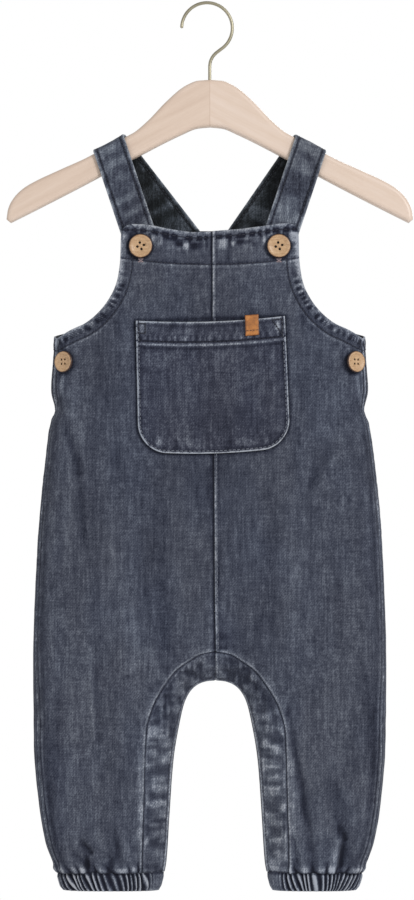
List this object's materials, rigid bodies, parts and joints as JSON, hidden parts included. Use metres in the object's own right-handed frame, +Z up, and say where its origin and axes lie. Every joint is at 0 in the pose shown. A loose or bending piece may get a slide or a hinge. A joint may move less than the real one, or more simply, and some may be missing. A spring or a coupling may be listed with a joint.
{
  "type": "baby dungarees on a wooden hanger",
  "caption": "Baby's denim dungarees with bib pocket, buttoned straps and elastic cuffs, hung by their straps on a wooden hanger with a wire hook.",
  "frame": {"origin": "top of the hook's inside, where a rail carries the hanger", "axes": "+Z up, -Y out of the garment's front, +X to the right as the front is looked at"},
  "size_m": [0.3, 0.0397, 0.6565],
  "materials": {
    "denim": "washed twill, dark blue grey, lighter along its edges",
    "hanger_wood": "pale beech, satin lacquer",
    "hook_wire": "pale brass wire, satin",
    "button_coconut": "turned coconut shell, satin",
    "label_leather": "tan leather, matt"
  },
  "bodies": {
    "root": {"hanger": "hanger_wood", "hook": "hook_wire", "front_left": "denim", "front_right": "denim", "back_left": "denim", "back_right": "denim", "inseam_band_front_left": "denim", "inseam_band_front_right": "denim", "inseam_band_back_left": "denim", "inseam_band_back_right": "denim", "side_stand_left": "denim", "side_stand_right": "denim", "cuff_left": "denim", "cuff_right": "denim", "strap_left": "denim", "strap_right": "denim", "pocket": "denim", "pocket_label": "label_leather", "button_bib_left": "button_coconut", "button_bib_right": "button_coconut", "button_side_left": "button_coconut", "button_side_right": "button_coconut"}
  },
  "joints": []
}
